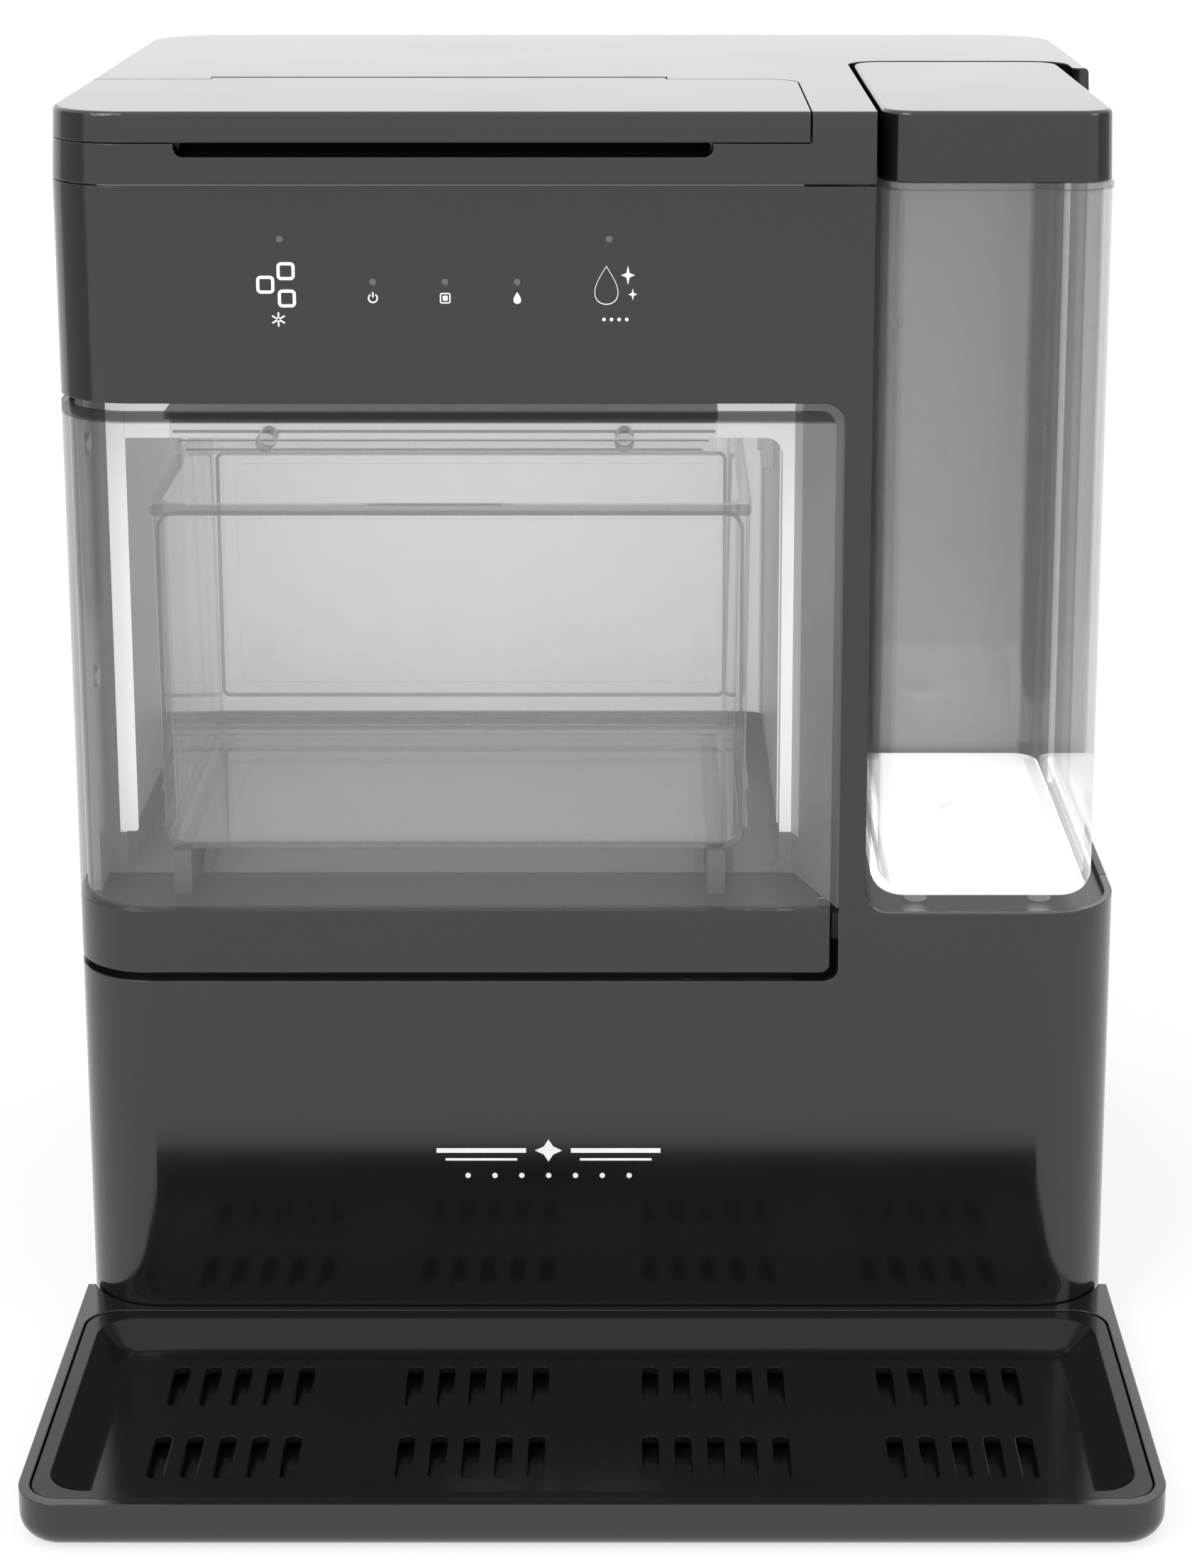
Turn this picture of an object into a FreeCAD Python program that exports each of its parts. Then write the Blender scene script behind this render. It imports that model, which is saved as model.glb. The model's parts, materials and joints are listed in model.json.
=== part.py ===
import FreeCAD, Part
import math
import os
import re
import Sketcher

# Countertop ice maker with a side water tank, a pull-out ice drawer and a drip tray.
# X to the right, Y to the back, Z up, millimetres; origin at the middle of the footprint, on the table.
# Inside each sub-part Y is measured from the front face of the cabinet.

os.makedirs("parts", exist_ok=True)
doc = FreeCAD.newDocument("ice_maker")
sheet = doc.addObject("Spreadsheet::Sheet", "dims")

SIZES = {
    # cabinet
    "body_wide": 346.6, "body_deep": 270.5, "body_tall": 420, "corner": 26, "wall": 2.5,
    "front_y": -70.5, "shell_low": 6.5, "front_deep": 38, "seam": 0.6, "seam_z": 397,
    "taper_deg": 2.5, "top_round": 1.5, "ledge_z": 156.2, "bay_floor_z": 154,
    # front openings
    "door_right": 80, "door_top": 327.5, "door_low": 132.7, "door_gap": 2.9, "door_round": 7,
    "bay_left": 88.6, "bay_deep": 164, "bay_round": 14, "lip_front": 137, "lip_left": 167,
    # lid
    "lid_right": 67.8, "lid_rear": 100, "lid_low": 410.2, "deck_z": 410, "lid_round": 12,
    "hinge_y": 104.5, "hinge_z": 417.6, "hinge_left": -131.4, "hinge_right": 23.4,
    "knuckle_rad": 2.4, "pin_rad": 1, "run_gap": 0.05, "pin_long": 15,
    # indicator lights and touch marks
    "light_rad": 1.1, "light_z": 366.6, "light_side_z": 380.2,
    # ice compartment
    "room_left": -166, "room_right": 68, "room_front": 42, "room_back": 186, "room_low": 154,
    "room_top": 407.5, "mouth_left": -160, "mouth_right": 62, "mouth_low": 156, "mouth_top": 307.5,
    # drawer
    "band_low": 135.6, "band_top": 157.2, "bin_left": -144, "bin_right": 49.5, "bin_front": 15.5,
    "bin_back": 158, "bin_low": 172, "bin_top": 291, "bin_wall": 2.4, "arm_wide": 6,
    "arm_low": 157.5, "arm_left": -141, "arm_right": 37, "floor_top": 155.8, "floor_back": 41.5,
    # tank
    "tank_left": 91, "tank_right": 164.5, "tank_front": 3, "tank_back": 159, "tank_low": 159.3,
    "tank_top": 395, "tank_round": 11.5, "tank_wall": 2.5, "cap_left": 90, "cap_right": 164,
    "cap_front": 2, "cap_back": 162, "cap_low": 397.8, "valve_x": 127, "valve_y": 80,
    "neck_rad": 12.5, "socket_rad": "=neck_rad + 0.7", "stem_rad": 2.4, "stem_gap": 0.08,
    # drip tray
    "tray_wide": 349.4, "tray_front": -129.5, "tray_tall": 16, "tray_round": 14, "tray_ear": 16,
    "foot_gap": 0.8, "tray_wall": 3.4, "insert_gap": 0.6, "insert_rim": 4.6, "slot_wide": 5.3,
    "slot_long": 26.3, "dish_slope": 50, "slot_pitch": 10.3, "group_pitch": 77.1, "row_pitch": 45.6,
    # machinery
    "pan_low": 6.5, "pan_thick": 2.5, "barrel_x": -60, "barrel_y": 226, "barrel_rad": 20,
    "bore_rad": 17, "barrel_low": 136, "barrel_top": 300, "flight_rad": 16.6, "shaft_rad": 5,
    "comp_x": -88, "comp_y": 92, "comp_rad": 44, "comp_low": 22, "comp_tall": 92,
    "fan_x": 50, "fan_z": 84, "fan_half": 60, "fan_rad": 57, "blade_rad": 54, "spindle_rad": 1.5,
    "fan_front": 226, "fan_thick": 25, "pump_x": 62, "pump_y": 120, "pump_rad": 22,
    "vat_left": 96, "vat_right": 164, "vat_front": 48, "vat_back": 150, "vat_top": 118,
    "drain_y": 225, "drain_z": 30, "drain_rad": 11,
}
for row, (word, size) in enumerate(SIZES.items(), 1):
    sheet.set(f"A{row}", word)
    sheet.set(f"B{row}", str(size))
    sheet.setAlias(f"B{row}", word)
doc.recompute()

parts = []


def link(text):
    return re.sub(r"[a-z][a-z0-9_]*", lambda word: "dims." + word.group(), text)


def value(text):
    return float(sheet.evalExpression(link(text)))


def bind(item, prop, text):
    item.setExpression(prop, link(text))


def origin_part(body, role):
    return [item for item in body.Origin.OriginFeatures if item.Role == role][0]


def new_body(label):
    body = doc.addObject("PartDesign::Body", label)
    body.Label = label
    bind(body, "Placement.Base.y", "front_y")
    parts.append(body)
    return body


def circle(sketch, x, y, radius):
    middle = FreeCAD.Vector(value(x), value(y), 0)
    index = sketch.addGeometry(Part.Circle(middle, FreeCAD.Vector(0, 0, 1), value(radius)), False)
    fix(sketch, "DistanceX", (-1, 1, index, 3), middle.x, x)
    fix(sketch, "DistanceY", (-1, 1, index, 3), middle.y, y)
    fix(sketch, "Radius", (index,), value(radius), radius)


def fix(sketch, kind, where, size, text):
    number = sketch.addConstraint(Sketcher.Constraint(kind, *where, size))
    sketch.setExpression(f"Constraints[{number}]", link(text))


def outline(sketch, corners):
    """Closed outline; a corner is (x, y) or (x, y, radius), rounded only between square edges."""
    corners = [tuple(corner) + ("",) * (3 - len(corner)) for corner in corners]
    count = len(corners)
    points = [FreeCAD.Vector(value(x), value(y), 0) for x, y, radius in corners]
    radii = [value(radius) if radius else 0 for x, y, radius in corners]
    starts = []
    ends = []
    for i, point in enumerate(points):
        back = (points[i - 1] - point).normalize()
        ahead = (points[(i + 1) % count] - point).normalize()
        ends.append(point + back * radii[i])
        starts.append(point + ahead * radii[i])
    lines = [sketch.addGeometry(Part.LineSegment(starts[i], ends[(i + 1) % count]), False)
             for i in range(count)]
    for i in range(count):
        before = lines[i - 1]
        if not radii[i]:
            sketch.addConstraint(Sketcher.Constraint("Coincident", before, 2, lines[i], 1))
            continue
        centre = ends[i] + starts[i] - points[i]
        first = 1 if (ends[i] - centre).cross(starts[i] - centre).z > 0 else 2
        low, high = (ends[i], starts[i]) if first == 1 else (starts[i], ends[i])
        angles = [math.atan2(point.y - centre.y, point.x - centre.x) for point in (low, high)]
        if angles[1] < angles[0]:
            angles[1] += 2 * math.pi
        ring = Part.Circle(centre, FreeCAD.Vector(0, 0, 1), radii[i])
        arc = sketch.addGeometry(Part.ArcOfCircle(ring, *angles), False)
        sketch.addConstraint(Sketcher.Constraint("Tangent", before, 2, arc, first))
        sketch.addConstraint(Sketcher.Constraint("Tangent", arc, 3 - first, lines[i], 1))
        fix(sketch, "Radius", (arc,), radii[i], corners[i][2])
    kinds = []
    for i in range(count):
        run = points[(i + 1) % count] - points[i]
        if abs(run.x) < 1e-9:
            kinds.append("upright")
            sketch.addConstraint(Sketcher.Constraint("Vertical", lines[i]))
            fix(sketch, "DistanceX", (-1, 1, lines[i], 1), points[i].x, corners[i][0])
        elif abs(run.y) < 1e-9:
            kinds.append("level")
            sketch.addConstraint(Sketcher.Constraint("Horizontal", lines[i]))
            fix(sketch, "DistanceY", (-1, 1, lines[i], 1), points[i].y, corners[i][1])
        else:
            kinds.append("sloped")
    for i in range(count):
        near = (kinds[i - 1], kinds[i])
        if "upright" not in near:
            fix(sketch, "DistanceX", (-1, 1, lines[i], 1), points[i].x, corners[i][0])
        if "level" not in near:
            fix(sketch, "DistanceY", (-1, 1, lines[i], 1), points[i].y, corners[i][1])


def sketch_on(body, plane, offset, loops):
    number = len(body.Group)
    sketch = body.newObject("Sketcher::SketchObject", f"{body.Label}_outline_{number}")
    sketch.AttachmentSupport = [(origin_part(body, plane + "_Plane"), "")]
    sketch.MapMode = "FlatFace"
    bind(sketch, "AttachmentOffset.Base.z", offset)
    for loop in loops:
        if isinstance(loop, tuple):
            circle(sketch, *loop)
        else:
            outline(sketch, loop)
    return sketch


def extrude(body, kind, plane, loops, low, high, taper=""):
    """Pad or pocket from low to high along the plane's own axis."""
    offset = low if kind == "Pad" else high
    if plane == "XZ":
        offset = f"-({high})" if kind == "Pad" else f"-({low})"
    sketch = sketch_on(body, plane, offset, loops)
    before = body.Shape.Volume if body.Tip else 0
    step = body.newObject("PartDesign::" + kind, f"{body.Label}_{kind.lower()}_{len(body.Group)}")
    step.Profile = sketch
    bind(step, "Length", f"({high}) - ({low})")
    if taper:
        bind(step, "TaperAngle", taper)
    doc.recompute()
    change = step.Shape.Volume - before
    if (kind == "Pad") != (change > 0) or abs(change) < 1e-3:
        raise ValueError(f"{step.Label} changes the volume by {change}")
    return step


def pad(body, plane, loops, low, high, taper=""):
    return extrude(body, "Pad", plane, loops, low, high, taper)


def pocket(body, plane, loops, low, high, taper=""):
    return extrude(body, "Pocket", plane, loops, low, high, taper)


def turn(body, corners, axis_x, axis_y):
    """Turned solid about an upright axis; corners are (radius, z)."""
    sketch = sketch_on(body, "XZ", f"-({axis_y})",
                       [[(f"({axis_x}) + ({out})", up) for out, up in corners]])
    line = sketch.addGeometry(Part.LineSegment(FreeCAD.Vector(value(axis_x), 0, 0),
                                               FreeCAD.Vector(value(axis_x), 1, 0)), True)
    sketch.addConstraint(Sketcher.Constraint("Vertical", line))
    fix(sketch, "DistanceX", (-1, 1, line, 1), value(axis_x), axis_x)
    fix(sketch, "DistanceY", (-1, 1, line, 1), 0, "0")
    fix(sketch, "DistanceY", (line, 1, line, 2), 1, "1")
    step = body.newObject("PartDesign::Revolution", body.Label + "_turned")
    step.Profile = sketch
    step.ReferenceAxis = (sketch, ["Axis0"])
    step.Angle = 360
    doc.recompute()
    return step


def pattern(body, step, runs):
    """Repeats a step; runs are (axis, spacing, how many)."""
    several = body.newObject("PartDesign::MultiTransform", f"{body.Label}_rows_{len(body.Group)}")
    several.Originals = [step]
    lines = []
    for axis, spacing, many in runs:
        line = body.newObject("PartDesign::LinearPattern", f"{body.Label}_row_{len(body.Group)}")
        line.Direction = (origin_part(body, axis + "_Axis"), [""])
        bind(line, "Length", f"({spacing}) * {many - 1}")
        line.Occurrences = many
        lines.append(line)
    several.Transformations = lines
    body.Tip = several
    doc.recompute()
    return several


def edges(shape, test):
    return [f"Edge{i}" for i, edge in enumerate(shape.Edges, 1) if test(edge.BoundBox, edge)]


def soften(body, test, radius, kind="Fillet"):
    tip = body.Tip
    step = body.newObject("PartDesign::" + kind, f"{body.Label}_soft_{len(body.Group)}")
    step.Base = (tip, edges(tip.Shape, test))
    bind(step, "Radius" if kind == "Fillet" else "Size", radius)
    doc.recompute()
    return step


def level_at(text):
    z = value(text)
    return lambda box, edge: abs(box.ZMin - z) < 1e-4 and abs(box.ZMax - z) < 1e-4


def upright_at(x, y, reach=0.5):
    def test(box, edge):
        near = math.hypot(box.Center.x - value(x), box.Center.y - value(y)) < reach
        return near and box.XLength < 1e-4 and box.YLength < 1e-4
    return test


def rect(left, low, right, high, radius=""):
    return [(left, low, radius), (right, low, radius), (right, high, radius), (left, high, radius)]


def disc(x, y, radius):
    return (x, y, radius)


def simple(kind, sizes, at=("0", "0", "0"), turned=None):
    item = doc.addObject("Part::" + kind, kind.lower())
    for prop, text in sizes.items():
        bind(item, prop, text)
    if turned:
        item.Placement.Rotation = turned
    for axis, text in zip("xyz", at):
        bind(item, "Placement.Base." + axis, text)
    return item


def block(left, front, low, right, back, high):
    sizes = {"Length": f"({right}) - ({left})", "Width": f"({back}) - ({front})",
             "Height": f"({high}) - ({low})"}
    return simple("Box", sizes, (left, front, low))


def rod(x, y, z, radius, long, way="z"):
    turned = {"z": None, "x": FreeCAD.Rotation(FreeCAD.Vector(0, 1, 0), 90),
              "y": FreeCAD.Rotation(FreeCAD.Vector(1, 0, 0), -90)}[way]
    return simple("Cylinder", {"Radius": radius, "Height": long}, (x, y, z), turned)


def fuse(*items):
    if len(items) == 1:
        return items[0]
    joined = doc.addObject("Part::MultiFuse", "joined")
    joined.Shapes = list(items)
    return joined


def cut(base, *tools):
    item = doc.addObject("Part::Cut", "cut")
    item.Base = base
    item.Tool = fuse(*tools)
    return item


def group(*items):
    """Separate solids kept side by side in one sub-part."""
    item = doc.addObject("Part::Compound", "group")
    item.Links = list(items)
    return item


def finish(item, label):
    item.Label = label
    bind(item, "Placement.Base.y", "front_y")
    parts.append(item)
    return item


def tube_run(points, radius, bend):
    """Round bar along a bent route; points are triples of sizes."""
    route = [FreeCAD.Vector(*[value(text) for text in point]) for point in points]
    size = value(bend)
    edges_made = []
    start = route[0]
    for i in range(1, len(route) - 1):
        back = (route[i - 1] - route[i]).normalize()
        ahead = (route[i + 1] - route[i]).normalize()
        half = math.acos(max(-1, min(1, back.dot(ahead)))) / 2
        trim = size / math.tan(half)
        first = route[i] + back * trim
        last = route[i] + ahead * trim
        centre = route[i] + (back + ahead).normalize() * (size / math.sin(half))
        middle = centre + (route[i] - centre).normalize() * size
        edges_made.append(Part.LineSegment(start, first).toShape())
        edges_made.append(Part.Arc(first, middle, last).toShape())
        start = last
    edges_made.append(Part.LineSegment(start, route[-1]).toShape())
    path = Part.Wire(edges_made)
    ring = Part.Wire([Part.makeCircle(value(radius), route[0], route[1] - route[0])])
    item = doc.addObject("Part::Feature", "tube")
    item.Shape = path.makePipeShell([ring], True, False)
    return item


# ---- cabinet shells ----

HALF = "body_wide / 2"
# past either side and past the back, for cuts that run right through
OUTER = f"({HALF} + 30)"
BEHIND = "(body_deep + 30)"


def shell_plan(front, back, inset, radius, opening):
    """U-shaped plan of a half shell, open at the back or at the front."""
    near, far = (front, back) if opening == "back" else (back, front)
    step = "wall" if opening == "back" else "-wall"
    return [(f"-{HALF}", far), (f"-{HALF}", near, radius), (HALF, near, radius), (HALF, far),
            (f"{HALF} - wall", far), (f"{HALF} - wall", f"{near} + {step}", f"{radius} - wall"),
            (f"-{HALF} + wall", f"{near} + {step}", f"{radius} - wall"), (f"-{HALF} + wall", far)]


front_panel = new_body("front_panel")
pad(front_panel, "XY", [shell_plan("0", "front_deep", "wall", "corner", "back")],
    "shell_low", "seam_z - seam / 2")
pocket(front_panel, "XZ", [[(f"-{OUTER}", "door_low"), ("door_right", "door_low", "door_round - 2.5"),
                            ("door_right", "door_top", "door_round"), (f"-{OUTER}", "door_top")]],
       "-1", "front_deep + 1")
pocket(front_panel, "XZ", [[("bay_left", "ledge_z", "door_round + 1"), (OUTER, "ledge_z"),
                            (OUTER, "450"), ("bay_left", "450")]], "-1", "front_deep + 1")
LIGHTS = [("-98.7", "light_side_z"), ("-69.6", "light_z"), ("-46.8", "light_z"),
          ("-24.1", "light_z"), ("4.9", "light_side_z")]
pocket(front_panel, "XZ", [disc(x, z, "light_rad + 0.05") for x, z in LIGHTS], "-1", "wall + 1")

rear_shell = new_body("rear_shell")
pad(rear_shell, "XY", [shell_plan("front_deep + seam", "body_deep", "wall", "corner", "front")],
    "shell_low", "seam_z - seam / 2")
pocket(rear_shell, "YZ", [[("0", "ledge_z"), ("lip_front", "ledge_z", "3"), ("lip_front", "450"),
                           ("0", "450")]], f"{HALF} - wall - 1", f"{HALF} + 1")
vent = pocket(rear_shell, "XZ", [rect("-6", "30", "-2", "64", "1.9")],
              "body_deep - wall - 1", "body_deep + 1")
pattern(rear_shell, vent, [("X", "9.5", 12), ("Z", "40", 3)])
side_vent = pocket(rear_shell, "YZ", [rect("120", "30", "124", "96", "1.9")],
                   f"-{HALF} - 1", f"-{HALF} + wall + 1")
pattern(rear_shell, side_vent, [("Y", "9.5", 9)])
pocket(rear_shell, "XZ", [rect("-146.1", "33.9", "-113.9", "58.1")],
       "body_deep - wall - 1", "body_deep + 1")
pocket(rear_shell, "YZ", [disc("drain_y", "drain_z", "drain_rad")],
       f"-{HALF} - 1", f"-{HALF} + wall + 1")
SCREWS = [(x, z) for x in ("-140", "140") for z in ("80", "220", "360")]
pocket(rear_shell, "XZ", [disc(x, z, "3.7") for x, z in SCREWS], "body_deep - 1.5", "body_deep + 1")
pocket(rear_shell, "XZ", [disc(x, z, "1.6") for x, z in SCREWS],
       "body_deep - wall - 1", "body_deep + 1")


def tapered_top(label):
    """Top block whose sides lean in slightly, with a rounded upper edge."""
    body = new_body(label)
    pad(body, "XY", [rect(f"-{HALF}", "0", HALF, "body_deep", "corner")],
        "seam_z + seam / 2", "body_tall", "-taper_deg")
    soften(body, level_at("body_tall"), "top_round")
    return body


top_frame = tapered_top("top_frame")
pocket(top_frame, "XY", [[(f"-{OUTER}", "-10"), ("lid_right + 0.6", "-10"),
                          ("lid_right + 0.6", "lid_rear + 0.8", "lid_round + 0.6"),
                          (f"-{OUTER}", "lid_rear + 0.8")]], "deck_z", "body_tall + 5")
pocket(top_frame, "XY", [rect("hinge_left - 0.6", "lid_rear - 8", "hinge_right + 0.6",
                              "hinge_y + knuckle_rad + 0.6")], "deck_z", "body_tall + 5")
pocket(top_frame, "XY", [[("bay_left", "-10"), (OUTER, "-10"), (OUTER, "lip_front"),
                          ("lip_left", "lip_front"), ("lip_left", "bay_deep", "bay_round"),
                          ("bay_left", "bay_deep", "bay_round")]], "seam_z", "body_tall + 5")
pocket(top_frame, "XY", [[(f"-{HALF} + 3", "14", "16"), ("bay_left - 2.5", "14"),
                          ("bay_left - 2.5", "bay_deep + 2.5"),
                          (f"{HALF} - 3", "bay_deep + 2.5"),
                          (f"{HALF} - 3", "body_deep - 3", "corner - 3"),
                          (f"-{HALF} + 3", "body_deep - 3", "corner - 3")]],
       "seam_z", "deck_z - 2.5")
pocket(top_frame, "XY", [[(f"-{HALF} + 6", "hinge_y + 8"), ("bay_left - 2.5", "hinge_y + 8"),
                          ("bay_left - 2.5", "bay_deep + 3"), (f"{HALF} - 6", "bay_deep + 3"),
                          (f"{HALF} - 6", "body_deep - 6", "corner - 6"),
                          (f"-{HALF} + 6", "body_deep - 6", "corner - 6")]],
       "deck_z - 3", "body_tall - 2.5")
pocket(top_frame, "XY", [rect("-140", "46", "50", "92", "6")], "seam_z", "deck_z + 5")
pocket(top_frame, "XZ", [[("-131.3", "405.8", "3"), ("37.5", "405.8", "3"), ("37.5", "415"),
                          ("-131.3", "415")]], "-5", "10")
for low, high in (("hinge_left - 0.6 - pin_long / 2", "hinge_left - 0.6"),
                  ("hinge_right + 0.6", "hinge_right + 0.6 + pin_long / 2")):
    pocket(top_frame, "YZ", [disc("hinge_y", "hinge_z", "pin_rad + 0.02")], low, high)
soften(top_frame, upright_at("lip_left", "lip_front"), "2.6")

top_lid = tapered_top("top_lid")
pocket(top_lid, "XY", [[("lid_right", "-10"), (OUTER, "-10"), (OUTER, BEHIND), (f"-{OUTER}", BEHIND),
                        (f"-{OUTER}", "lid_rear"), ("hinge_left", "lid_rear"),
                        ("hinge_left", "hinge_y"), ("hinge_right", "hinge_y"),
                        ("hinge_right", "lid_rear"), ("lid_right", "lid_rear", "lid_round")]],
       "seam_z", "body_tall + 5")
pocket(top_lid, "XY", [rect(f"-{OUTER}", "-10", OUTER, BEHIND)], "seam_z", "lid_low + 0.2")
pocket(top_lid, "XY", [rect("hinge_left - 1", "lid_rear", "hinge_right + 1", "hinge_y + 1")],
       "lid_low - 1", "hinge_z - knuckle_rad")
pocket(top_lid, "XY", [[(f"-{HALF} + 3.8", "3.5", "corner - 3"), ("lid_right - wall", "3.5", "2"),
                        ("lid_right - wall", "lid_rear - wall", "lid_round - wall"),
                        (f"-{HALF} + 3.8", "lid_rear - wall")]], "lid_low - 1", "body_tall - 3")
pad(top_lid, "YZ", [disc("hinge_y", "hinge_z", "knuckle_rad")], "hinge_left", "hinge_right")
for low, high in (("hinge_left - 1", "hinge_left + pin_long / 2"),
                  ("hinge_right - pin_long / 2", "hinge_right + 1")):
    pocket(top_lid, "YZ", [disc("hinge_y", "hinge_z", "pin_rad + run_gap")], low, high)

finish(group(rod("hinge_left - 0.6 - pin_long / 2", "hinge_y", "hinge_z", "pin_rad",
                 "pin_long", "x"),
             rod("hinge_right + 0.6 - pin_long / 2", "hinge_y", "hinge_z", "pin_rad",
                 "pin_long", "x")), "hinge_pins")

# ---- tank bay ----

tank_bay = new_body("tank_bay")
pad(tank_bay, "XY", [[("bay_left - 2", "wall + 0.1"),
                      (f"{HALF} - wall - 0.1", "wall + 0.1", "corner - wall - 0.1"),
                      (f"{HALF} - wall - 0.1", "bay_deep + 2"), ("bay_left - 2", "bay_deep + 2")]],
    "bay_floor_z - 2.5", "bay_floor_z")
pad(tank_bay, "XY", [[("bay_left - 2", "wall + 0.1"), ("bay_left", "wall + 0.1"),
                      ("bay_left", "bay_deep", "bay_round"), ("lip_left", "bay_deep", "bay_round"),
                      ("lip_left", "lip_front"), (f"{HALF} - wall - 0.1", "lip_front"),
                      (f"{HALF} - wall - 0.1", "bay_deep + 2"), ("bay_left - 2", "bay_deep + 2")]],
    "bay_floor_z - 0.5", "seam_z - seam / 2")
pocket(tank_bay, "XY", [disc("valve_x", "valve_y", "socket_rad + 3.1")],
       "bay_floor_z - 4", "bay_floor_z + 1")

valve_socket = new_body("valve_socket")
turn(valve_socket, [("0", "140"), ("socket_rad + 3", "140"), ("socket_rad + 3", "bay_floor_z"),
                    ("socket_rad", "bay_floor_z"), ("socket_rad", "142"), ("2", "142"),
                    ("2", "152"), ("0", "152")], "valve_x", "valve_y")
pad(valve_socket, "XY", [disc("valve_x + 7", "valve_y", "5")], "115", "141")
pocket(valve_socket, "XY", [disc("valve_x + 7", "valve_y", "3.4")], "110", "143")

# ---- front indicators ----

finish(group(*[fuse(rod(x, "0", z, "light_rad", "wall", "y"), rod(x, "wall", z, "2", "2.5", "y"))
               for x, z in LIGHTS]), "indicator_lenses")


def mark(x, z, wide, tall):
    return block(f"({x}) - {wide} / 2", "-0.2", f"({z}) - {tall} / 2", f"({x}) + {wide} / 2", "0",
                 f"({z}) + {tall} / 2")


finish(group(mark("-102.3", "361.6", "5.6", "5.6"), mark("-96.4", "361.6", "5.6", "5.6"),
             mark("-99.4", "368.6", "5.6", "5.6"), mark("4", "365.4", "8", "12"),
             *[mark(x, "light_z - 5.2", "6", "2.2") for x in ("-69.6", "-46.8", "-24.1")]),
       "touch_marks")
finish(fuse(block("-118", "8", "340", "24", "9.6", "392"), block("-110", "5", "352", "-88", "8", "376"),
            block("-6", "5", "352", "14", "8", "376"), block("-78", "9.6", "360", "-62", "12.6", "376"),
            block("-30", "9.6", "350", "-10", "17", "362"),
            *[rod(x, "wall", z, "2.2", "8 - wall", "y") for x in ("-112", "18") for z in ("386", "346")]),
       "control_board")

# ---- ice compartment ----

room = new_body("ice_compartment")
pad(room, "XY", [rect("room_left", "room_front", "room_right", "room_back")], "room_low", "room_top")
pocket(room, "XY", [rect("room_left + 8", "room_front + 2.5", "room_right - 6.5", "room_back - 2",
                         "5")], "mouth_low", "room_top - 2")
pocket(room, "XZ", [rect("mouth_left", "mouth_low", "mouth_right", "mouth_top", "6")],
       "room_front - 1", "room_front + 10")
pocket(room, "XY", [rect("-140", "46", "50", "92", "6")], "room_top - 5", "room_top + 1")
pocket(room, "XZ", [rect("barrel_x - 26.5", "309", "barrel_x + 26.5", "356.5")],
       "room_back - 5", "room_back + 1")
pad(room, "XY", [[("door_right - 0.5", "5"), ("door_right + 2", "5"), ("room_right + 2", "room_front + 1"),
                  ("room_right - 2", "room_front + 1"), ("room_right - 2", "room_front")]],
    "floor_top + 0.7", "330")
pad(room, "XY", [rect("room_left - 2.6", "22", "room_left", "room_front + 1")],
    "floor_top + 0.7", "330")
for height in ("309", "230"):
    pad(room, "YZ", [disc("26", height, "3.5")], "room_left - 0.1", "room_left + 1.2")

finish(group(*[block(f"{x} + {side}", "room_front + 2.5", "mouth_low", f"{x} + {side} + 3",
                     "room_back - 6", "mouth_low + 5")
               for x in ("arm_left", "arm_right") for side in ("-3.5", "arm_wide + 0.5")]),
       "slide_guides")
finish(fuse(block("room_right - 10.5", "100", "284", "room_right - 6.5", "116", "300"),
            rod("room_right - 12", "108", "292", "3", "2", "x")), "ice_sensor")

# ---- drawer ----


def wing_plan(radius="corner"):
    """Front plan of the drawer: across the front, round the left corner and back along the side."""
    right = "door_right - door_gap"
    return [(f"-{HALF}", "front_deep"), (f"-{HALF}", "0", radius), (right, "0"), (right, "wall"),
            (f"-{HALF} + wall", "wall", f"{radius} - wall"), (f"-{HALF} + wall", "front_deep")]


window = new_body("drawer_window")
pad(window, "XY", [wing_plan()], "band_top", "door_top - door_gap")
soften(window, lambda box, edge: abs(box.Center.x - value("door_right - door_gap")) < 1e-3
       and abs(box.Center.z - value("door_top - door_gap")) < 1e-3 and box.YLength > 1, "5")
band = new_body("drawer_band")
pad(band, "XY", [wing_plan()], "band_low", "band_top")
soften(band, lambda box, edge: abs(box.Center.x - value("door_right - door_gap")) < 1e-3
       and abs(box.Center.z - value("band_low")) < 1e-3 and box.YLength > 1, "3")

carrier = new_body("drawer_frame")
INSET = f"({HALF} - wall - 0.1)"
pad(carrier, "XY", [[(f"-{INSET}", "floor_back"), (f"-{INSET}", "wall + 0.1", "corner - wall - 0.1"),
                     ("door_right - 6", "wall + 0.1"), ("door_right - 6", "floor_back")]],
    "floor_top - 3", "floor_top")
for x in ("arm_left", "arm_right"):
    pad(carrier, "YZ", [[("bin_front + 2", "floor_top - 1"), ("floor_back", "floor_top - 1"),
                         ("floor_back", "arm_low"), ("150", "arm_low"), ("150", "bin_low"),
                         ("bin_front + 2", "bin_low")]], x, f"{x} + arm_wide")

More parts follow.
